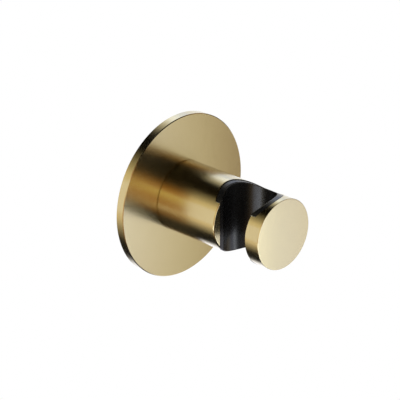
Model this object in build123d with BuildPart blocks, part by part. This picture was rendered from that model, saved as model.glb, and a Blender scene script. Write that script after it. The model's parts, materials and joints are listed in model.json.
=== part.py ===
"""Hand shower holder for a wall: a round plate, a round arm with a slotted cone seat, and its hidden fixing.

Lengths are in millimetres and angles in degrees. The wall is the plane Y = 0 and the origin is the plate's
centre on it. The arm runs out along -Y, +X is to the right of a person who faces the wall, +Z is up.
"""
import os
from math import radians, tan

from build123d import *

# Wall plate, a turned disc that covers the fixing
plate_diameter = 70.0
plate_thickness = 3.9
plate_edge = 0.35          # chamfer of the plate's two rims
plate_web = 1.4            # metal left in front of the hollow in the plate's back
recess_margin = 2.0        # room round the base in that hollow

# Arm, turned from bar with the seat milled through it
arm_diameter = 30.2
neck_length = 26.8         # from the plate to the collar's near side
nose_wall = 2.3            # metal left in front of the collar
arm_edge = 0.25            # chamfer of the arm's front rim
seam_edge = 0.4            # chamfer of the rim that meets the plate
slot_edge = 0.6            # rounding where the slot leaves the arm
pocket_edge = 0.3          # chamfer where the collar's pocket leaves the arm

# Cone insert, the moulded liner of the seat
seat_offset = 3.0          # seat's axis from the arm's axis, towards the open side
slot_width = 16.8          # gap that lets the hose in
cone_diameter = 22.0       # cone at the height of the arm's top
cone_angle = 1.2           # slope of the cone's wall
insert_wall = 0.9          # wall of the liner at its top
collar_step = 1.6          # collar's overhang beyond the liner
collar_floor = 9.8         # collar's seat above the arm's axis
insert_sink = 0.3          # liner's upper end below the arm's round surface
mouth_edge = 0.4           # chamfer of the cone's two mouths
insert_clearance = 0.08    # gap round the liner and its collar

# Mounting base, screwed to the wall inside the plate's hollow
base_diameter = 50.0
base_gap = 0.2             # between the base and the plate's web
spigot_diameter = 18.0
spigot_reach = 12.0        # how far the spigot goes into the arm
spigot_edge = 0.8          # chamfer of the spigot's tip
spigot_clearance = 0.1     # gap round the spigot, in the plate and in the arm
socket_end_gap = 0.5       # between the spigot's tip and the socket's end
screw_spacing = 34.0
screw_hole_diameter = 4.3
screw_head_diameter = 7.0
countersink_angle = 90.0

# Grub screw under the arm, which bites into the spigot's groove
grub_diameter = 5.0
grub_sink = 1.7            # screw's outer end below the arm's underside
grub_from_plate = 6.0      # its axis from the plate's front
grub_clearance = 0.05
groove_depth = 1.2
point_gap = 0.1            # between the screw's cone and the groove
socket_key = 2.5           # across the flats of the hexagon
socket_key_depth = 2.0
tip_flat = 0.4             # radius of the screw's blunt tip

# Values that follow from the sizes above
plate_radius = plate_diameter / 2
arm_radius = arm_diameter / 2
recess_depth = plate_thickness - plate_web
base_thickness = recess_depth - base_gap
cone_radius = cone_diameter / 2
liner_radius = cone_radius + insert_wall
collar_radius = liner_radius + collar_step
arm_length = neck_length + 2 * collar_radius + nose_wall
arm_end = plate_thickness + arm_length
seat_from_wall = plate_thickness + neck_length + collar_radius
base_radius = base_diameter / 2
spigot_radius = spigot_diameter / 2
spigot_end = plate_thickness + spigot_reach
grub_radius = grub_diameter / 2
grub_from_wall = plate_thickness + grub_from_plate
groove_bottom = spigot_radius - groove_depth
grub_tip = groove_bottom + tip_flat + point_gap
grub_end = arm_radius - grub_sink

# Planes: the wall, the plate's front, and the level plane through the arm's axis at the seat
wall = Plane.XZ
plate_front = wall.offset(plate_thickness)
seat_level = Plane(origin=(-seat_offset, -seat_from_wall, 0), x_dir=(1, 0, 0), z_dir=(0, 0, 1))
seat_section = Plane(origin=seat_level.origin, x_dir=(1, 0, 0), z_dir=(0, -1, 0))
seat_axis = Axis(seat_level.origin, (0, 0, 1))
grub_level = Plane(origin=(0, -grub_from_wall, 0), x_dir=(1, 0, 0), z_dir=(0, 0, -1))

# Hose gap: a cutter from the seat's axis out through the open side, shared by the arm and the liner
with BuildPart() as hose_gap:
    with BuildSketch(seat_level):
        with Locations((-arm_radius, 0)):
            Rectangle(arm_diameter, slot_width)
    extrude(amount=arm_diameter, both=True)

# Wall plate
with BuildPart() as wall_plate:
    with BuildSketch(wall):
        Circle(plate_radius)
    extrude(amount=plate_thickness)
    chamfer(wall_plate.edges().filter_by(GeomType.CIRCLE), plate_edge)
    with BuildSketch(wall):
        Circle(base_radius + recess_margin)
    extrude(amount=recess_depth, mode=Mode.SUBTRACT)
    with BuildSketch(wall):
        Circle(spigot_radius + spigot_clearance)
    extrude(amount=plate_thickness, mode=Mode.SUBTRACT)

# Arm: the bar, the slot, the stepped seat, the socket in its back end and the tapped hole underneath
with BuildPart() as holder_arm:
    with BuildSketch(plate_front):
        Circle(arm_radius)
    extrude(amount=arm_length)
    chamfer(holder_arm.edges().filter_by(GeomType.CIRCLE).sort_by(Axis.Y)[0], arm_edge)
    chamfer(holder_arm.edges().filter_by(GeomType.CIRCLE).sort_by(Axis.Y)[-1], seam_edge)
    add(hose_gap.part, mode=Mode.SUBTRACT)
    slot_rims = holder_arm.edges(Select.LAST).filter_by(GeomType.CIRCLE)
    fillet(slot_rims, slot_edge)
    with BuildSketch(seat_level):
        Circle(liner_radius + insert_clearance)
    extrude(amount=arm_radius, both=True, mode=Mode.SUBTRACT)
    with BuildSketch(seat_level.offset(collar_floor)):
        Circle(collar_radius + insert_clearance)
    extrude(amount=arm_radius - collar_floor, mode=Mode.SUBTRACT)
    pocket_wall = holder_arm.faces().filter_by(GeomType.CYLINDER).sort_by(Axis.Z)[-1]
    chamfer(pocket_wall.edges().sort_by(Axis.Z)[-1], pocket_edge)
    with BuildSketch(plate_front):
        Circle(spigot_radius + spigot_clearance)
    extrude(amount=spigot_reach + socket_end_gap, mode=Mode.SUBTRACT)
    with BuildSketch(grub_level):
        Circle(grub_radius)
    extrude(amount=arm_radius, mode=Mode.SUBTRACT)

# Cone insert: a bush turned round the seat's axis, trimmed to the arm's round, slotted and chamfered
with BuildPart() as cone_insert:
    taper_rise = 2 * arm_radius * tan(radians(cone_angle))
    with BuildSketch(seat_section):
        with BuildLine():
            Polyline(
                (cone_radius, arm_radius),
                (collar_radius, arm_radius),
                (collar_radius, collar_floor),
                (liner_radius, collar_floor),
                (liner_radius, -arm_radius),
                (cone_radius - taper_rise, -arm_radius),
                close=True,
            )
        make_face()
    revolve(axis=seat_axis)
    with BuildSketch(wall):
        Circle(arm_radius)
        Rectangle(arm_diameter, arm_radius, align=(Align.CENTER, Align.MIN), mode=Mode.SUBTRACT)
        Circle(arm_radius - insert_sink)
    extrude(amount=arm_end, mode=Mode.INTERSECT)
    add(hose_gap.part, mode=Mode.SUBTRACT)
    cone_rims = cone_insert.faces().filter_by(GeomType.CONE).edges().sort_by(Axis.Z)
    chamfer([cone_rims[0], cone_rims[-1]], mouth_edge)

# Mounting base: a disc with a grooved spigot, turned in one piece, and its two screw holes
with BuildPart() as mounting_base:
    with BuildSketch(Plane.XY):
        with BuildLine():
            Polyline(
                (0, 0),
                (base_radius, 0),
                (base_radius, -base_thickness),
                (spigot_radius, -base_thickness),
                (spigot_radius, groove_depth - grub_from_wall),
                (groove_bottom, -grub_from_wall),
                (spigot_radius, -groove_depth - grub_from_wall),
                (spigot_radius, spigot_edge - spigot_end),
                (spigot_radius - spigot_edge, -spigot_end),
                (0, -spigot_end),
                close=True,
            )
        make_face()
    revolve(axis=Axis.Y)
    with Locations(wall.offset(base_thickness)):
        with GridLocations(screw_spacing, 0, 2, 1):
            CounterSinkHole(
                radius=screw_hole_diameter / 2,
                counter_sink_radius=screw_head_diameter / 2,
                counter_sink_angle=countersink_angle,
            )

# Grub screw: a cone-pointed set screw with a hexagon socket
with BuildPart() as grub_screw:
    shank = grub_radius - grub_clearance
    with BuildSketch(Plane(origin=grub_level.origin, x_dir=(1, 0, 0), z_dir=(0, -1, 0))):
        with BuildLine():
            Polyline(
                (0, -grub_tip),
                (tip_flat, -grub_tip),
                (shank, -grub_tip - shank + tip_flat),
                (shank, -grub_end),
                (0, -grub_end),
                close=True,
            )
        make_face()
    revolve(axis=Axis(grub_level.origin, (0, 0, 1)))
    with BuildSketch(grub_level.offset(grub_end)):
        RegularPolygon(socket_key / 2, 6, major_radius=False)
    extrude(amount=-socket_key_depth, mode=Mode.SUBTRACT)

os.makedirs("parts", exist_ok=True)
nodes = {
    "wall_plate": wall_plate,
    "holder_arm": holder_arm,
    "cone_insert": cone_insert,
    "mounting_base": mounting_base,
    "grub_screw": grub_screw,
}
for name, node in nodes.items():
    node.part.label = name
    export_step(node.part, f"parts/{name}.step")
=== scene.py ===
"""Hand shower holder in brushed brass, modelled over its packed solids and set up for a studio picture.

Lengths are in metres, in the part's own frame: the wall is the plane Y = 0, the arm runs out along -Y
and +Z is up. The file is laid out as an add-on and is run as a script.
"""
import json
from math import cos, pi, radians, sin, tan

import bmesh
import bpy
from bpy.props import FloatProperty, FloatVectorProperty, IntProperty, PointerProperty
from mathutils import Matrix, Vector


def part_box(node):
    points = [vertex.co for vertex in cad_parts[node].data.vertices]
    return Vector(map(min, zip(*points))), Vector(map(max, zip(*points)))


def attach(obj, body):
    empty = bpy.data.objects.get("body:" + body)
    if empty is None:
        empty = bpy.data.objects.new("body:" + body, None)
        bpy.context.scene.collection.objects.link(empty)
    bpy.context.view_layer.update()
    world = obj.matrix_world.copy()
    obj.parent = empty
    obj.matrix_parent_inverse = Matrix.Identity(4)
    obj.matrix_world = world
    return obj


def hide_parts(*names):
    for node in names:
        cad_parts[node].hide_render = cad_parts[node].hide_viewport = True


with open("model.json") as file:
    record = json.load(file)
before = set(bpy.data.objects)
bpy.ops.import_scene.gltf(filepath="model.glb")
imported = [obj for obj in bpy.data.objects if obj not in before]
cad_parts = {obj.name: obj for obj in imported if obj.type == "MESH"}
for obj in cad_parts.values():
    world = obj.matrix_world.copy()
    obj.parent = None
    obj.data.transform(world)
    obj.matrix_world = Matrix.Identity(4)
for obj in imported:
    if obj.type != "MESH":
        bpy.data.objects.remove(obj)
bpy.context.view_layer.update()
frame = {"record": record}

bl_info = {
    "name": "Hand Shower Holder",
    "version": (1, 0, 0),
    "blender": (4, 5, 0),
    "location": "View3D > Sidebar > Holder",
    "description": "Models a brass hand shower holder piece by piece and sets up its studio picture",
    "category": "Add Mesh",
}

MM = 0.001
BODY = "root"

# Points closer than the first are one point, and a point closer to a rim than the second lies on it
MERGE = 0.001 * MM
NEAR = 0.02 * MM

# Boxes and mounts of the packed part that the pieces are fitted to
plate_low, plate_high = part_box("wall_plate")
arm_low, arm_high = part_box("holder_arm")
base_low, base_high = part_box("mounting_base")
grub_low, grub_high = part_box("grub_screw")
MOUNTS = {mount["name"]: mount for mount in frame["record"]["mounts"]}
SEAT_X, SEAT_Y = MOUNTS["cone_seat"]["pos_m"][:2]
WALL_SCREWS = MOUNTS["wall_screws"]["dims"]
GRUB_Y = (grub_low.y + grub_high.y) / 2
PLATE_FRONT = Vector((0, plate_low.y, 0))
ARM_AXIS = (0, 1, 0)
UPRIGHT = (0, 0, 1)

# Sizes that two pieces share, and the gaps between those pieces
SPIGOT_RADIUS = 9.0 * MM
SPIGOT_GAP = 0.1 * MM
LINER_RADIUS = 11.9 * MM
COLLAR_RADIUS = 13.5 * MM
INSERT_GAP = 0.08 * MM

# A face is flat when more than this share of its normal runs along the arm
FLAT_SHARE = 0.9


def length(name, description, default):
    """A size in metres, for a property group."""
    return FloatProperty(
        name=name, description=description, default=default, min=0.0, precision=5, unit="LENGTH"
    )


def share(name, description, default):
    """A share from nought to one, for a property group."""
    return FloatProperty(
        name=name, description=description, default=default, min=0.0, max=1.0, subtype="FACTOR"
    )


def angle(name, description, degrees):
    """An angle, for a property group."""
    return FloatProperty(name=name, description=description, default=radians(degrees), subtype="ANGLE")


def colour(name, description, default):
    """A linear colour, for a property group."""
    return FloatVectorProperty(
        name=name, description=description, default=default, size=3, min=0.0, max=1.0, subtype="COLOR"
    )


class PlateSizes(bpy.types.PropertyGroup):
    """Sizes of the wall plate."""

    radius: length("Radius", "Radius of the plate", plate_high.x)
    edge: length("Edge", "Chamfer of the plate's two rims", 0.3 * MM)
    hollow_radius: length("Hollow radius", "Radius of the hollow in the plate's back", 27.0 * MM)
    hollow_depth: length("Hollow depth", "Depth of the hollow in the plate's back", 2.5 * MM)
    bore_radius: length("Bore radius", "Radius of the hole for the spigot", SPIGOT_RADIUS + SPIGOT_GAP)


class ArmSizes(bpy.types.PropertyGroup):
    """Sizes of the arm, its slot, its seat and its socket."""

    radius: length("Radius", "Radius of the arm's bar", arm_high.x)
    edge: length("Edge", "Rounding of the arm's front rim", 0.25 * MM)
    seam_edge: length("Seam edge", "Chamfer of the rim that meets the plate", 0.4 * MM)
    slot_width: length("Slot width", "Gap that lets the hose in", 16.8 * MM)
    slot_edge: length("Slot edge", "Rounding where the slot leaves the bar", 0.6 * MM)
    pocket_edge: length("Pocket edge", "Chamfer where the collar's pocket leaves the bar", 0.3 * MM)
    seat_radius: length("Seat radius", "Bore that takes the liner", LINER_RADIUS + INSERT_GAP)
    collar_radius: length("Collar radius", "Bore that takes the collar", COLLAR_RADIUS + INSERT_GAP)
    collar_floor: length("Collar floor", "Height of the collar's seat above the arm's axis", 9.8 * MM)
    socket_radius: length("Socket radius", "Bore that takes the spigot", SPIGOT_RADIUS + SPIGOT_GAP)
    socket_depth: length("Socket depth", "Depth of that bore", 12.5 * MM)


class InsertSizes(bpy.types.PropertyGroup):
    """Sizes of the cone insert."""

    cone_radius: length("Cone radius", "Radius of the cone at the height of the arm's top", 11.0 * MM)
    taper: angle("Taper", "Slope of the cone's wall", 1.2)
    liner_radius: length("Liner radius", "Outer radius of the liner", LINER_RADIUS)
    collar_radius: length("Collar radius", "Outer radius of the collar", COLLAR_RADIUS)
    sink: length("Sink", "Upper end below the bar's round surface", 0.3 * MM)
    mouth_edge: length("Mouth edge", "Rounding of the cone's two mouths", 0.4 * MM)
    collar_edge: length("Collar edge", "Rounding of the collar's upper rim", 0.15 * MM)


class BaseSizes(bpy.types.PropertyGroup):
    """Sizes of the hidden mounting base."""

    radius: length("Radius", "Radius of the base's disc", base_high.x)
    thickness: length("Thickness", "Thickness of the base's disc", 2.3 * MM)
    edge: length("Edge", "Rounding of the disc's front rim", 0.2 * MM)
    spigot_radius: length("Spigot radius", "Radius of the spigot that carries the arm", SPIGOT_RADIUS)
    spigot_edge: length("Spigot edge", "Chamfer of the spigot's tip", 0.8 * MM)
    groove_depth: length("Groove depth", "Depth of the groove that the set screw bites into", 1.2 * MM)
    head_radius: length("Screw head radius", "Radius of the countersink", 3.5 * MM)


class ScrewSizes(bpy.types.PropertyGroup):
    """Sizes of the set screw and of its thread."""

    radius: length("Radius", "Outer radius of the screw's thread", grub_high.x)
    hole_radius: length("Hole radius", "Radius of the tapped hole at the thread's bottom", 2.5 * MM)
    pitch: length("Pitch", "Distance from one thread turn to the next", 0.8 * MM)
    thread_depth: length("Thread depth", "Depth of the thread", 0.4 * MM)
    tip_flat: length("Tip flat", "Radius of the blunt tip", 0.4 * MM)
    key: length("Key size", "Hexagon socket across its flats", 2.5 * MM)
    key_depth: length("Key depth", "Depth of the hexagon socket", 2.0 * MM)


class Finishes(bpy.types.PropertyGroup):
    """Colours and gloss of the materials."""

    brass: colour("Brass", "Colour of the brushed brass", (0.62, 0.53, 0.29))
    brass_roughness: share("Brass roughness", "Mean roughness of the brushed brass", 0.23)
    brass_streak: share("Brass streak", "How far the strokes draw the highlights out across them", 0.6)
    lacquer_roughness: share("Lacquer roughness", "Roughness of the clear lacquer on the brass", 0.17)
    plastic: colour("Plastic", "Colour of the moulded insert", (0.009, 0.009, 0.009))
    plastic_roughness: share("Plastic roughness", "Mean roughness of the moulded insert", 0.26)
    bare_brass: colour("Bare brass", "Colour of the turned base", (0.60, 0.50, 0.27))
    steel: colour("Steel", "Colour of the set screw", (0.48, 0.48, 0.49))


class StageSettings(bpy.types.PropertyGroup):
    """Camera, floor and fineness of the picture."""

    lens: FloatProperty(
        name="Lens", description="Focal length in millimetres", default=361.09, unit="CAMERA"
    )
    azimuth: angle("Azimuth", "Camera's turn to the left, seen from straight in front", 46.209)
    elevation: angle("Elevation", "Camera's height as an angle", 24.152)
    distance: length("Distance", "From the plate's centre to the camera, along its view", 1.64843)
    aside: length("Aside", "Camera's place to the right of that line", 7.01 * MM)
    drop: length("Drop", "Camera's place below that line", 1.99 * MM)
    floor_drop: length("Floor drop", "From the arm's axis down to the floor", 1.3)
    floor_size: length("Floor size", "Width of the floor", 60.0)
    fill_distance: length("Fill distance", "From the plate's front to the fill that it mirrors", 0.15)
    turn_steps: IntProperty(
        name="Turn steps", description="Faces round a turned piece", default=256, min=32, max=512
    )


def deselect():
    """Leaves nothing selected, the packed nodes included."""
    bpy.ops.object.select_all(action="DESELECT")


def make_active(piece):
    """Selects one piece alone."""
    deselect()
    piece.select_set(True)
    bpy.context.view_layer.objects.active = piece


def draw_section(name, points):
    """Starts a piece as one vertex and draws its section from point to point. Leaves it in edit mode."""
    deselect()
    bpy.ops.mesh.primitive_plane_add(size=MM, location=(0, 0, 0))
    piece = bpy.context.active_object
    piece.name = name
    piece.data.name = name
    bpy.ops.object.mode_set(mode="EDIT")
    bpy.ops.mesh.select_mode(type="VERT")
    bpy.ops.mesh.select_all(action="SELECT")
    bpy.ops.mesh.merge(type="CENTER")
    bpy.ops.transform.translate(value=points[0])
    for here, there in zip(points, points[1:]):
        bpy.ops.mesh.extrude_vertices_move(TRANSFORM_OT_translate={"value": there - here})
    bpy.ops.mesh.select_all(action="SELECT")
    bpy.ops.mesh.remove_doubles(threshold=MERGE)
    return piece


def pick_points(piece, places):
    """Selects the section's vertices that lie at the given places."""
    bpy.ops.mesh.select_all(action="DESELECT")
    mesh = bmesh.from_edit_mesh(piece.data)
    for vertex in mesh.verts:
        vertex.select_set(any((vertex.co - place).length < MERGE for place in places))
    bmesh.update_edit_mesh(piece.data)


def pick_faces(piece, test):
    """Selects the faces whose normal passes a test."""
    bpy.ops.mesh.select_mode(type="FACE")
    bpy.ops.mesh.select_all(action="DESELECT")
    mesh = bmesh.from_edit_mesh(piece.data)
    for face in mesh.faces:
        face.select_set(test(face.normal))
    bmesh.update_edit_mesh(piece.data)


def round_corners(piece, places, size, segments=3):
    """Rounds the section's corners at the given places. One segment makes a chamfer."""
    pick_points(piece, places)
    bpy.ops.mesh.bevel(offset=size, segments=segments, profile=0.5, affect="VERTICES")


def turn(axis, centre=(0, 0, 0)):
    """Turns the drawn section once round an axis, closes its seam and leaves edit mode."""
    steps = bpy.context.scene.holder_stage.turn_steps
    bpy.ops.mesh.select_all(action="SELECT")
    bpy.ops.mesh.spin(steps=steps, angle=2 * pi, center=centre, axis=axis)
    bpy.ops.mesh.select_all(action="SELECT")
    bpy.ops.mesh.remove_doubles(threshold=MERGE)
    bpy.ops.mesh.normals_make_consistent(inside=False)
    bpy.ops.object.mode_set(mode="OBJECT")


def cut(piece, tool, operation="DIFFERENCE"):
    """Cuts a piece with a tool shape and clears the tool away."""
    make_active(piece)
    bpy.ops.object.modifier_add(type="BOOLEAN")
    step = piece.modifiers[-1]
    step.operation = operation
    step.solver = "EXACT"
    step.object = tool
    bpy.ops.object.modifier_apply(modifier=step.name)
    bpy.data.objects.remove(tool)


def ease_edges(piece, on_rim, size, segments=1):
    """Breaks the edges whose two ends both lie on a rim."""
    make_active(piece)
    bpy.ops.object.mode_set(mode="EDIT")
    bpy.ops.mesh.select_mode(type="EDGE")
    bpy.ops.mesh.select_all(action="DESELECT")
    mesh = bmesh.from_edit_mesh(piece.data)
    rim = {vertex for vertex in mesh.verts if on_rim(*vertex.co)}
    for edge in mesh.edges:
        edge.select_set(all(vertex in rim for vertex in edge.verts))
    bmesh.update_edit_mesh(piece.data)
    bpy.ops.mesh.bevel(offset=size, segments=segments, affect="EDGES", loop_slide=False)
    bpy.ops.object.mode_set(mode="OBJECT")


def finish_piece(piece, node, materials, smooth=30):
    """Shades a piece smooth up to an angle in degrees, gives it its materials and its node's place."""
    make_active(piece)
    bpy.ops.object.shade_smooth_by_angle(angle=radians(smooth))
    bpy.ops.object.modifier_add(type="WEIGHTED_NORMAL")
    step = piece.modifiers[-1]
    step.keep_sharp = True
    bpy.ops.object.modifier_apply(modifier=step.name)
    for material in materials:
        piece.data.materials.append(material)
    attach(piece, BODY)
    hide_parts(node)


def assign(piece, index, test):
    """Gives one of the piece's materials to the faces that pass a test."""
    make_active(piece)
    bpy.ops.object.mode_set(mode="EDIT")
    pick_faces(piece, test)
    piece.active_material_index = index
    bpy.ops.object.material_slot_assign()
    bpy.ops.object.mode_set(mode="OBJECT")


def across_arm(radius, along):
    """A point of a section that is turned round the arm's axis."""
    return Vector((radius, along, 0))


def across_seat(radius, height):
    """A point of a section that is turned round the seat's axis."""
    return Vector((SEAT_X + radius, SEAT_Y, height))


def from_seat(x, y):
    """Distance of a point from the seat's axis."""
    return Vector((x - SEAT_X, y - SEAT_Y)).length


def across_screw(radius, height):
    """A point of a section that is turned round the set screw's axis."""
    return Vector((radius, GRUB_Y, height))


def start_material(name, kind="ShaderNodeBsdfPrincipled"):
    """A new material with one shader, its tree and that shader."""
    material = bpy.data.materials.new(name)
    material.use_nodes = True
    tree = material.node_tree
    tree.nodes.clear()
    output = tree.nodes.new("ShaderNodeOutputMaterial")
    shader = tree.nodes.new(kind)
    tree.links.new(shader.outputs[0], output.inputs["Surface"])
    return material, tree, shader


def grain(tree, stretch):
    """Noise in the object's own coordinates, stretched along a grain, from nought to one."""
    place = tree.nodes.new("ShaderNodeTexCoord")
    mapping = tree.nodes.new("ShaderNodeMapping")
    mapping.inputs["Scale"].default_value = stretch
    noise = tree.nodes.new("ShaderNodeTexNoise")
    noise.inputs["Scale"].default_value = 1.0
    noise.inputs["Detail"].default_value = 5.0
    noise.inputs["Roughness"].default_value = 0.65
    tree.links.new(place.outputs["Object"], mapping.inputs["Vector"])
    tree.links.new(mapping.outputs["Vector"], noise.inputs["Vector"])
    return noise.outputs["Fac"]


def spread(tree, value, low, high):
    """Maps the middle range of a noise to a range of values."""
    ranged = tree.nodes.new("ShaderNodeMapRange")
    ranged.inputs["From Min"].default_value = 0.3
    ranged.inputs["From Max"].default_value = 0.7
    ranged.inputs["To Min"].default_value = low
    ranged.inputs["To Max"].default_value = high
    tree.links.new(value, ranged.inputs["Value"])
    return ranged.outputs["Result"]


def shades(tree, value, tone, contrast):
    """Mixes a darker and a lighter shade of one tone by a noise."""
    mix = tree.nodes.new("ShaderNodeMix")
    mix.data_type = "RGBA"
    mix.inputs["A"].default_value = (*(channel * (1 - contrast) for channel in tone), 1.0)
    mix.inputs["B"].default_value = (*(min(channel * (1 + contrast), 1.0) for channel in tone), 1.0)
    tree.links.new(spread(tree, value, 0.0, 1.0), mix.inputs["Factor"])
    return mix.outputs["Result"]


def scratch(tree, shader, value, depth, strength):
    """Raises a noise as fine relief."""
    bump = tree.nodes.new("ShaderNodeBump")
    bump.inputs["Strength"].default_value = strength
    bump.inputs["Distance"].default_value = depth
    tree.links.new(value, bump.inputs["Height"])
    tree.links.new(bump.outputs["Normal"], shader.inputs["Normal"])


def draw_out(tree, shader, axis, turn_share, amount):
    """Draws the highlights out across the brush strokes, from the direction that runs round an axis."""
    tangent = tree.nodes.new("ShaderNodeTangent")
    tangent.direction_type = "RADIAL"
    tangent.axis = axis
    shader.inputs["Anisotropic"].default_value = amount
    shader.inputs["Anisotropic Rotation"].default_value = turn_share
    tree.links.new(tangent.outputs["Tangent"], shader.inputs["Tangent"])


def brushed_brass(name, stretch, axis, turn_share):
    """Lacquered brass with a brushed grain.

    The stretch is small along the brush strokes and large across them. The axis, and the share of a turn
    from the direction round it, say which way the highlights are drawn out.
    """
    finish = bpy.context.scene.holder_finish
    rough = finish.brass_roughness
    uneven = 0.02
    material, tree, shader = start_material(name)
    strokes = grain(tree, stretch)
    shader.inputs["Metallic"].default_value = 1.0
    shader.inputs["Coat Weight"].default_value = 1.0
    shader.inputs["Coat IOR"].default_value = 1.6
    shader.inputs["Coat Roughness"].default_value = finish.lacquer_roughness
    tree.links.new(shades(tree, strokes, finish.brass, contrast=0.04), shader.inputs["Base Color"])
    tree.links.new(spread(tree, strokes, rough - uneven, rough + uneven), shader.inputs["Roughness"])
    scratch(tree, shader, strokes, depth=0.01 * MM, strength=0.04)
    draw_out(tree, shader, axis, turn_share, finish.brass_streak)
    return material


def moulded_plastic():
    """Black moulded plastic with a fine uneven gloss."""
    finish = bpy.context.scene.holder_finish
    rough = finish.plastic_roughness
    uneven = 0.03
    material, tree, shader = start_material("moulded_black")
    skin = grain(tree, stretch=(900, 900, 900))
    tree.links.new(shades(tree, skin, finish.plastic, contrast=0.3), shader.inputs["Base Color"])
    tree.links.new(spread(tree, skin, rough - uneven, rough + uneven), shader.inputs["Roughness"])
    scratch(tree, shader, skin, depth=0.005 * MM, strength=0.2)
    return material


def lathe_rings(tree, spacing):
    """Rings round the arm's axis, a little uneven, from nought to one."""
    # Radians by which the wave texture goes on per unit of length at a scale of one
    wave_rate = 20
    place = tree.nodes.new("ShaderNodeTexCoord")
    rings = tree.nodes.new("ShaderNodeTexWave")
    rings.wave_type = "RINGS"
    rings.rings_direction = "Y"
    rings.inputs["Scale"].default_value = 2 * pi / (wave_rate * spacing)
    rings.inputs["Distortion"].default_value = 1.5
    rings.inputs["Detail"].default_value = 2.0
    tree.links.new(place.outputs["Object"], rings.inputs["Vector"])
    return rings.outputs["Fac"]


def turned_brass():
    """Bare brass with the fine rings of a lathe."""
    finish = bpy.context.scene.holder_finish
    material, tree, shader = start_material("turned_brass")
    rings = lathe_rings(tree, spacing=0.4 * MM)
    shader.inputs["Metallic"].default_value = 1.0
    tree.links.new(shades(tree, rings, finish.bare_brass, contrast=0.12), shader.inputs["Base Color"])
    tree.links.new(spread(tree, rings, low=0.28, high=0.4), shader.inputs["Roughness"])
    scratch(tree, shader, rings, depth=0.02 * MM, strength=0.3)
    return material


def stainless_steel():
    """Plain stainless steel, slightly uneven."""
    finish = bpy.context.scene.holder_finish
    material, tree, shader = start_material("stainless_steel")
    skin = grain(tree, stretch=(1500, 1500, 4000))
    shader.inputs["Metallic"].default_value = 1.0
    tree.links.new(shades(tree, skin, finish.steel, contrast=0.1), shader.inputs["Base Color"])
    tree.links.new(spread(tree, skin, low=0.25, high=0.38), shader.inputs["Roughness"])
    scratch(tree, shader, skin, depth=0.01 * MM, strength=0.2)
    return material


def shared_brass(name, **strokes):
    """The brushed brass of that name, made on its first use."""
    return bpy.data.materials.get(name) or brushed_brass(name, **strokes)


def ring_brass():
    """Brass brushed round the arm's axis, with highlights a quarter turn from its strokes."""
    return shared_brass("brass_brushed_round", stretch=(200, 2400, 200), axis="Y", turn_share=0.25)


def face_brass():
    """Brass brushed up and down, for the flat faces, with highlights drawn out to the sides."""
    return shared_brass("brass_brushed_upright", stretch=(2400, 200, 160), axis="Z", turn_share=0.0)


def is_flat(normal):
    """True for a face that looks along the arm."""
    return abs(normal.y) > FLAT_SHARE


class HOLDER_OT_wall_plate(bpy.types.Operator):
    """Turns the wall plate with its hollow back"""

    bl_idname = "holder.wall_plate"
    bl_label = "Wall Plate"

    def execute(self, context):
        sizes = context.scene.holder_plate
        front = plate_low.y
        back = plate_high.y
        front_rim = across_arm(sizes.radius, front)
        back_rim = across_arm(sizes.radius, back)
        start = across_arm(sizes.bore_radius, front)
        section = [
            start,
            front_rim,
            back_rim,
            across_arm(sizes.hollow_radius, back),
            across_arm(sizes.hollow_radius, back - sizes.hollow_depth),
            across_arm(sizes.bore_radius, back - sizes.hollow_depth),
            start,
        ]
        piece = draw_section("plate_disc", section)
        round_corners(piece, [front_rim, back_rim], sizes.edge, segments=1)
        turn(ARM_AXIS)
        finish_piece(piece, "wall_plate", [ring_brass(), face_brass()])
        assign(piece, 1, is_flat)
        return {"FINISHED"}


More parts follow.
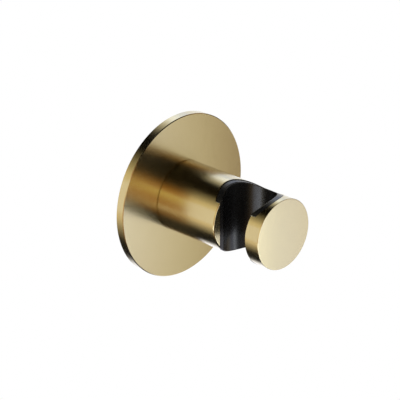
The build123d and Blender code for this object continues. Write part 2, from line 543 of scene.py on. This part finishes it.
class HOLDER_OT_arm(bpy.types.Operator):
    """Turns the arm, then mills its slot, its stepped seat and its tapped hole"""

    bl_idname = "holder.arm"
    bl_label = "Arm"

    def slot_tool(self, sizes):
        """Half a disc as wide as the slot, flared in a curve at its rim to round the slot's edges"""
        half = sizes.slot_width / 2
        chords = 4
        flare = [(0, half)]
        for chord in range(chords + 1):
            turned = chord / chords * pi / 2
            radius = sizes.radius - sizes.slot_edge * (1 - sin(turned))
            flare.append((radius, half + sizes.slot_edge * (1 - cos(turned))))
        # One more chord in line with the last, so that the tool stands out of the bar
        (inner, apart_inner), (outer, apart_outer) = flare[-2:]
        flare.append((2 * outer - inner, 2 * apart_outer - apart_inner))
        section = [across_arm(radius, SEAT_Y - apart) for radius, apart in flare]
        section += [across_arm(radius, SEAT_Y + apart) for radius, apart in reversed(flare)]
        tool = draw_section("slot_tool", section)
        turn(ARM_AXIS)
        bpy.ops.object.mode_set(mode="EDIT")
        bpy.ops.mesh.select_all(action="SELECT")
        bpy.ops.mesh.bisect(plane_co=(SEAT_X, 0, 0), plane_no=(1, 0, 0), use_fill=True, clear_outer=True)
        bpy.ops.object.mode_set(mode="OBJECT")
        return tool

    def ease_pocket(self, piece, sizes):
        """Breaks the edge where the collar's pocket leaves the bar"""

        def on_rim(x, y, z):
            """True where the pocket's wall meets the bar's round"""
            off_bar = abs(Vector((x, z)).length - sizes.radius)
            off_pocket = abs(from_seat(x, y) - sizes.collar_radius)
            return off_bar < NEAR and off_pocket < NEAR and z > sizes.collar_floor - NEAR

        ease_edges(piece, on_rim, sizes.pocket_edge)

    def seat_tool(self, sizes):
        """A stepped bar for the liner's bore and its collar"""
        end = 2 * sizes.radius
        section = [
            across_seat(0, -end),
            across_seat(sizes.seat_radius, -end),
            across_seat(sizes.seat_radius, sizes.collar_floor),
            across_seat(sizes.collar_radius, sizes.collar_floor),
            across_seat(sizes.collar_radius, end),
            across_seat(0, end),
        ]
        tool = draw_section("seat_tool", section)
        turn(UPRIGHT, (SEAT_X, SEAT_Y, 0))
        return tool

    def execute(self, context):
        sizes = context.scene.holder_arm
        front = arm_low.y
        back = arm_high.y
        front_rim = across_arm(sizes.radius, front)
        back_rim = across_arm(sizes.radius, back)
        section = [
            across_arm(0, front),
            front_rim,
            back_rim,
            across_arm(sizes.socket_radius, back),
            across_arm(sizes.socket_radius, back - sizes.socket_depth),
            across_arm(0, back - sizes.socket_depth),
        ]
        piece = draw_section("arm_bar", section)
        round_corners(piece, [front_rim], sizes.edge)
        round_corners(piece, [back_rim], sizes.seam_edge, segments=1)
        turn(ARM_AXIS)
        cut(piece, self.slot_tool(sizes))
        cut(piece, self.seat_tool(sizes))
        self.ease_pocket(piece, sizes)
        cut(piece, thread_tool(context.scene.holder_screw, sizes.radius))
        finish_piece(piece, "holder_arm", [ring_brass(), face_brass()])
        assign(piece, 1, is_flat)
        return {"FINISHED"}


def thread_points(radius, depth, pitch, bottom, top):
    """Points of a thread's section between two heights, with its crests at the outer radius."""
    turns = int((top - bottom) / pitch)
    points = []
    for number in range(turns):
        height = bottom + number * pitch
        points.append(across_screw(radius, height))
        points.append(across_screw(radius - depth, height + pitch / 2))
    points.append(across_screw(radius, bottom + turns * pitch))
    return points


def thread_tool(sizes, reach):
    """The shape of a tap, for the threaded hole under the arm."""
    low = -reach - sizes.pitch
    wall = thread_points(sizes.hole_radius, sizes.thread_depth, sizes.pitch, low, -sizes.pitch)
    section = [across_screw(0, low), *wall, across_screw(0, wall[-1].z)]
    tool = draw_section("tap", section)
    turn(UPRIGHT, (0, GRUB_Y, 0))
    return tool


class HOLDER_OT_insert(bpy.types.Operator):
    """Turns the cone insert, trims it to the arm's round and opens its slot"""

    bl_idname = "holder.insert"
    bl_label = "Cone Insert"

    def bar_tool(self, context, radius, sink):
        """A bar as round as the arm, sunk a little on its upper half"""
        steps = context.scene.holder_stage.turn_steps
        outline = []
        for step in range(steps):
            turned = 2 * pi * step / steps
            here = radius - sink if step < steps / 2 else radius
            outline.append(Vector((here * cos(turned), arm_high.y, here * sin(turned))))
        tool = draw_section("bar_tool", [*outline, outline[0]])
        bpy.ops.mesh.edge_face_add()
        along = (0, arm_low.y - arm_high.y, 0)
        bpy.ops.mesh.extrude_region_move(TRANSFORM_OT_translate={"value": along})
        bpy.ops.mesh.select_all(action="SELECT")
        bpy.ops.mesh.normals_make_consistent(inside=False)
        bpy.ops.object.mode_set(mode="OBJECT")
        return tool

    def gap_tool(self, width, reach):
        """A block as wide as the slot, from the seat's axis out through the open side"""
        deselect()
        bpy.ops.mesh.primitive_cube_add(
            size=1, location=(SEAT_X - reach, SEAT_Y, 0), scale=(2 * reach, width, 4 * reach)
        )
        return bpy.context.active_object

    def execute(self, context):
        sizes = context.scene.holder_insert
        arm = context.scene.holder_arm
        reach = arm.radius
        slope = tan(sizes.taper)
        start = across_seat(sizes.cone_radius, reach)
        section = [
            start,
            across_seat(sizes.collar_radius, reach),
            across_seat(sizes.collar_radius, arm.collar_floor),
            across_seat(sizes.liner_radius, arm.collar_floor),
            across_seat(sizes.liner_radius, -reach),
            across_seat(sizes.cone_radius - 2 * reach * slope, -reach),
            start,
        ]
        piece = draw_section("cone_bush", section)
        turn(UPRIGHT, (SEAT_X, SEAT_Y, 0))
        cut(piece, self.bar_tool(context, reach, sizes.sink), "INTERSECT")
        cut(piece, self.gap_tool(arm.slot_width, reach))

        def on_round(x, z):
            """True on the bush's upper or lower end"""
            end = reach - sizes.sink if z > 0 else reach
            return abs(Vector((x, z)).length - end) < NEAR

        def on_mouth(x, y, z):
            """True on the rims of the cone's two mouths"""
            cone = sizes.cone_radius - (reach - z) * slope
            return on_round(x, z) and abs(from_seat(x, y) - cone) < NEAR

        def on_collar(x, y, z):
            """True on the collar's upper rim"""
            return z > 0 and on_round(x, z) and abs(from_seat(x, y) - sizes.collar_radius) < NEAR

        ease_edges(piece, on_mouth, sizes.mouth_edge, segments=2)
        ease_edges(piece, on_collar, sizes.collar_edge, segments=2)
        # A small angle, so that the rounded rims don't bend the shading of the upper end
        finish_piece(piece, "cone_insert", [moulded_plastic()], smooth=8)
        return {"FINISHED"}


class HOLDER_OT_base(bpy.types.Operator):
    """Turns the mounting base and sinks its two screw holes"""

    bl_idname = "holder.base"
    bl_label = "Mounting Base"

    def screw_tool(self, sizes, x):
        """A countersink with its drill, at one side of the base"""
        hole = WALL_SCREWS["hole_r_mm"] * MM
        front = -sizes.thickness
        sink = sizes.head_radius - hole
        overshoot = MM
        tool = draw_section("countersink", [
            Vector((x, overshoot, 0)),
            Vector((x + hole, overshoot, 0)),
            Vector((x + hole, front + sink, 0)),
            Vector((x + sizes.head_radius + overshoot, front - overshoot, 0)),
            Vector((x, front - overshoot, 0)),
        ])
        turn(ARM_AXIS, (x, 0, 0))
        return tool

    def execute(self, context):
        sizes = context.scene.holder_base
        tip = base_low.y
        disc_rim = across_arm(sizes.radius, -sizes.thickness)
        tip_rim = across_arm(sizes.spigot_radius, tip)
        section = [
            across_arm(0, 0),
            across_arm(sizes.radius, 0),
            disc_rim,
            across_arm(sizes.spigot_radius, -sizes.thickness),
            across_arm(sizes.spigot_radius, GRUB_Y + sizes.groove_depth),
            across_arm(sizes.spigot_radius - sizes.groove_depth, GRUB_Y),
            across_arm(sizes.spigot_radius, GRUB_Y - sizes.groove_depth),
            tip_rim,
            across_arm(0, tip),
        ]
        piece = draw_section("wall_base", section)
        round_corners(piece, [disc_rim], sizes.edge)
        round_corners(piece, [tip_rim], sizes.spigot_edge, segments=1)
        turn(ARM_AXIS)
        reach = WALL_SCREWS["spacing_x_mm"] * MM / 2
        for x in (-reach, reach):
            cut(piece, self.screw_tool(sizes, x))
        finish_piece(piece, "mounting_base", [turned_brass()])
        return {"FINISHED"}


class HOLDER_OT_set_screw(bpy.types.Operator):
    """Turns the set screw with its thread, cone point and hexagon socket"""

    bl_idname = "holder.set_screw"
    bl_label = "Set Screw"

    def key_tool(self, sizes):
        """A hexagon bar as deep as the socket"""
        deselect()
        corner = sizes.key / 2 / cos(pi / 6)
        bpy.ops.mesh.primitive_cylinder_add(
            vertices=6, radius=corner, depth=2 * sizes.key_depth, location=(0, GRUB_Y, grub_low.z)
        )
        return bpy.context.active_object

    def execute(self, context):
        sizes = context.scene.holder_screw
        point = grub_high.z
        shoulder = point - (sizes.radius - sizes.tip_flat)
        end = grub_low.z
        first_crest = end + sizes.pitch / 2
        thread = thread_points(sizes.radius, sizes.thread_depth, sizes.pitch, first_crest, shoulder)
        section = [
            across_screw(0, end),
            across_screw(sizes.radius - sizes.thread_depth, end),
            *thread,
            across_screw(sizes.tip_flat, point),
            across_screw(0, point),
        ]
        piece = draw_section("set_screw", section)
        turn(UPRIGHT, (0, GRUB_Y, 0))
        cut(piece, self.key_tool(sizes))
        finish_piece(piece, "grub_screw", [stainless_steel()])
        return {"FINISHED"}


def white_to_camera(tree, surface):
    """Makes an emission white for the camera, reflections and glass, and dim for the rest."""
    dim = 0.5
    white = 1.0
    path = tree.nodes.new("ShaderNodeLightPath")
    seen = path.outputs["Is Camera Ray"]
    for kind in ("Is Glossy Ray", "Is Transmission Ray"):
        either = tree.nodes.new("ShaderNodeMath")
        either.operation = "MAXIMUM"
        tree.links.new(seen, either.inputs[0])
        tree.links.new(path.outputs[kind], either.inputs[1])
        seen = either.outputs["Value"]
    strength = tree.nodes.new("ShaderNodeMapRange")
    strength.inputs["To Min"].default_value = dim
    strength.inputs["To Max"].default_value = white
    tree.links.new(seen, strength.inputs["Value"])
    tree.links.new(strength.outputs["Result"], surface.inputs["Strength"])


def card_material(name, width, tones):
    """A plain card whose light changes across its width, for reflections alone."""
    brightest = max(max(tone) for place, tone in tones)
    material, tree, glow = start_material(name, "ShaderNodeEmission")
    glow.inputs["Strength"].default_value = brightest
    place = tree.nodes.new("ShaderNodeTexCoord")
    split = tree.nodes.new("ShaderNodeSeparateXYZ")
    # A card's own coordinates start at -0.5 and the ramp's at 0
    across = tree.nodes.new("ShaderNodeMath")
    across.operation = "ADD"
    across.inputs[1].default_value = 0.5
    ramp = tree.nodes.new("ShaderNodeValToRGB")
    ramp.color_ramp.interpolation = "LINEAR"
    points = ramp.color_ramp.elements
    while len(points) < len(tones):
        points.new(0.5)
    for point, (distance, tone) in zip(points, tones):
        point.position = distance / width
        point.color = (*(channel / brightest for channel in tone), 1.0)
    tree.links.new(place.outputs["Object"], split.inputs["Vector"])
    tree.links.new(split.outputs["X"], across.inputs[0])
    tree.links.new(across.outputs["Value"], ramp.inputs["Fac"])
    tree.links.new(ramp.outputs["Color"], glow.inputs["Color"])
    return material


def studio_card(name, corner, across, along, tones):
    """A card that the metal reflects and the camera doesn't see, from one corner along its two sides.

    The tones are pairs of a distance along the first side and the light that the card gives there.
    """
    deselect()
    across = Vector(across)
    along = Vector(along)
    middle = Vector(corner) + (across + along) / 2
    bpy.ops.mesh.primitive_plane_add(size=1, location=middle)
    card = bpy.context.active_object
    card.name = name
    facing = across.cross(along).normalized()
    turned = Matrix((across.normalized(), along.normalized(), facing)).transposed()
    card.rotation_euler = turned.to_euler()
    card.scale = (across.length, along.length, 1)
    card.data.materials.append(card_material(name, across.length, tones))
    card.visible_camera = False
    card.visible_diffuse = False
    card.visible_shadow = False


class HOLDER_OT_stage(bpy.types.Operator):
    """Sets the floor, the white room, the cards and the camera"""

    bl_idname = "holder.stage"
    bl_label = "Stage"

    def floor(self, sizes):
        """A wide pale floor, white to the camera"""
        deselect()
        bpy.ops.mesh.primitive_plane_add(size=sizes.floor_size, location=(0, 0, -sizes.floor_drop))
        floor = bpy.context.active_object
        floor.name = "studio_floor"
        material, tree, glow = start_material("pale_floor", "ShaderNodeEmission")
        white_to_camera(tree, glow)
        floor.data.materials.append(material)

    def world(self, scene):
        """A white room"""
        scene.world = bpy.data.worlds.new("white_room")
        scene.world.use_nodes = True
        tree = scene.world.node_tree
        white_to_camera(tree, tree.nodes["Background"])
        tree.nodes["Background"].inputs["Color"].default_value = (1.0, 1.0, 1.0, 1.0)

    def flags(self):
        """Graded flags above, below and on both sides of the arm, dark over its middle"""
        left = -1.1
        width = 2.4
        reach = 1.2
        height = 0.45
        right_length = 1.8
        right_low = -0.28
        right_height = height - right_low
        black = (0.0, 0.0, 0.0)
        # Front edge and height of each level card, and its tones from left to right
        level = {
            "ceiling_rear": (0.0, height, [
                (-0.75, (0.88, 0.75, 0.46)),
                (-0.20, black),
                (0.06, black),
                (0.22, (0.64, 0.60, 0.50)),
                (0.40, (1.39, 1.48, 1.69)),
                (0.80, (0.92, 1.02, 1.27)),
                (1.20, (0.88, 0.96, 1.22)),
            ]),
            "ceiling_front": (-reach, height, [
                (-0.80, (0.67, 0.33, 0.08)),
                (-0.30, black),
                (0.32, black),
                (0.80, (0.34, 0.20, 0.07)),
                (1.30, (0.46, 0.29, 0.12)),
            ]),
            "floor_rear": (0.0, -height, [
                (-0.80, (0.90, 0.75, 0.50)),
                (-0.26, black),
                (0.03, black),
                (0.17, (1.21, 1.21, 1.31)),
            ]),
            "floor_front": (-reach, -height, [
                (-1.05, (0.72, 0.42, 0.15)),
                (-0.62, (0.42, 0.22, 0.06)),
                (-0.40, (0.30, 0.16, 0.05)),
                (-0.24, black),
                (0.16, black),
                (0.40, (0.85, 0.60, 0.35)),
            ]),
        }
        for name, (y, z, tones) in level.items():
            tones = [(x - left, tone) for x, tone in tones]
            studio_card(name, (left, y, z), (width, 0, 0), (0, reach, 0), tones)
        # Corner and two sides of each upright card, and its tones along the first side
        upright = {
            "left_rear": ((left, reach, -height), (0, -reach, 0), (0, 0, 2 * height), [
                (0.30, (1.04, 0.96, 0.83)),
                (0.95, (0.76, 0.67, 0.49)),
            ]),
            "left_front": ((left, -reach, -height), (0, 0, 2 * height), (0, reach, 0), [
                (0.30, (0.61, 0.28, 0.03)),
                (0.75, (1.10, 0.87, 0.35)),
            ]),
            "right": ((left + width, -reach, right_low), (0, right_length, 0), (0, 0, right_height), [
                (0.96, (0.30, 0.21, 0.10)),
                (1.32, (0.08, 0.07, 0.06)),
            ]),
        }
        for name, (corner, across, along, tones) in upright.items():
            studio_card(name, corner, across, along, tones)

    def fill(self, sizes):
        """A fill that the arm's front and the plate mirror to the camera, and a bright strip beside it"""
        mirror = Matrix.Diagonal((1, -1, 1))
        aside, upward, back = (mirror @ axis for axis in self.view_turn(sizes).transposed())
        middle = PLATE_FRONT - sizes.fill_distance * back
        # Left, right, low and high edge of each card from the mirrored view's middle, and its tones
        cards = {
            "soft_fill": (-0.048, 0.15, -0.060, 0.062, [
                (-0.044, (0.76, 0.81, 1.06)),
                (-0.033, (1.05, 1.06, 1.29)),
                (-0.019, (0.94, 0.91, 0.88)),
                (-0.007, (0.84, 0.78, 0.66)),
                (0.007, (0.68, 0.63, 0.45)),
                (0.022, (0.47, 0.36, 0.26)),
                (0.050, (0.10, 0.08, 0.06)),
            ]),
            "edge_strip": (-0.15, -0.048, -0.035, 0.035, [
                (-0.130, (0.10, 0.10, 0.10)),
                (-0.110, (0.35, 0.36, 0.38)),
                (-0.092, (1.50, 1.55, 1.65)),
                (-0.078, (3.40, 3.55, 3.75)),
                (-0.066, (3.40, 3.55, 3.75)),
                (-0.056, (1.15, 1.19, 1.30)),
                (-0.049, (0.70, 0.74, 0.90)),
            ]),
        }
        for name, (left, right, low, high, tones) in cards.items():
            corner = middle + left * aside + low * upward
            tones = [(place - left, tone) for place, tone in tones]
            studio_card(name, corner, (right - left) * aside, (high - low) * upward, tones)

    def softbox(self):
        """A softbox on the left, for the long highlights in the seat"""
        side = -0.55
        low = -0.36
        height = 0.175
        front = -0.46
        rear = 0.03
        tones = [
            (front, (0.40, 0.20, 0.05)),
            (-0.38, (0.85, 0.70, 0.52)),
            (-0.31, (1.65, 1.70, 1.80)),
            (-0.24, (2.40, 2.55, 2.80)),
            (-0.14, (3.00, 3.25, 3.60)),
            (-0.05, (3.30, 3.55, 3.95)),
            (0.02, (4.60, 4.85, 5.20)),
        ]
        tones = [(y - front, tone) for y, tone in tones]
        studio_card("softbox", (side, front, low), (0, rear - front, 0), (0, 0, height), tones)

    def view_turn(self, sizes):
        """The camera's turn, whose columns are its right, its up and its back"""
        tilt = Matrix.Rotation(pi / 2 - sizes.elevation, 3, "X")
        return Matrix.Rotation(-sizes.azimuth, 3, "Z") @ tilt

    def camera(self, scene, sizes):
        """The photograph's point of view"""
        bpy.ops.object.camera_add()
        camera = bpy.context.active_object
        camera.name = "photo_camera"
        turned = self.view_turn(sizes)
        camera.location = PLATE_FRONT + turned @ Vector((sizes.aside, -sizes.drop, sizes.distance))
        camera.rotation_euler = turned.to_euler()
        camera.data.lens = sizes.lens
        scene.camera = camera

    def execute(self, context):
        scene = context.scene
        sizes = scene.holder_stage
        self.floor(sizes)
        self.world(scene)
        self.flags()
        self.fill(sizes)
        self.softbox()
        self.camera(scene, sizes)
        scene.view_settings.view_transform = "Standard"
        return {"FINISHED"}


OPERATORS = (
    HOLDER_OT_wall_plate,
    HOLDER_OT_arm,
    HOLDER_OT_insert,
    HOLDER_OT_base,
    HOLDER_OT_set_screw,
    HOLDER_OT_stage,
)
SETTINGS = {
    "holder_plate": PlateSizes,
    "holder_arm": ArmSizes,
    "holder_insert": InsertSizes,
    "holder_base": BaseSizes,
    "holder_screw": ScrewSizes,
    "holder_finish": Finishes,
    "holder_stage": StageSettings,
}


class HOLDER_PT_panel(bpy.types.Panel):
    """Lists the pieces and their settings"""

    bl_idname = "HOLDER_PT_panel"
    bl_label = "Hand Shower Holder"
    bl_space_type = "VIEW_3D"
    bl_region_type = "UI"
    bl_category = "Holder"

    def draw(self, context):
        for operator in OPERATORS:
            self.layout.operator(operator.bl_idname)
        for name, group in SETTINGS.items():
            box = self.layout.box()
            box.label(text=group.__doc__)
            for setting in group.__annotations__:
                box.prop(getattr(context.scene, name), setting)


CLASSES = (*SETTINGS.values(), *OPERATORS, HOLDER_PT_panel)


def register():
    """Registers the classes and hangs the settings on the scene."""
    for kind in CLASSES:
        bpy.utils.register_class(kind)
    for name, group in SETTINGS.items():
        setattr(bpy.types.Scene, name, PointerProperty(type=group))


def unregister():
    """Takes the settings and the classes away again."""
    for name in SETTINGS:
        delattr(bpy.types.Scene, name)
    for kind in reversed(CLASSES):
        bpy.utils.unregister_class(kind)


def main():
    """Registers the settings, then makes every piece and the stage."""
    register()
    bpy.ops.holder.wall_plate()
    bpy.ops.holder.arm()
    bpy.ops.holder.insert()
    bpy.ops.holder.base()
    bpy.ops.holder.set_screw()
    bpy.ops.holder.stage()


if __name__ == "__main__":
    main()
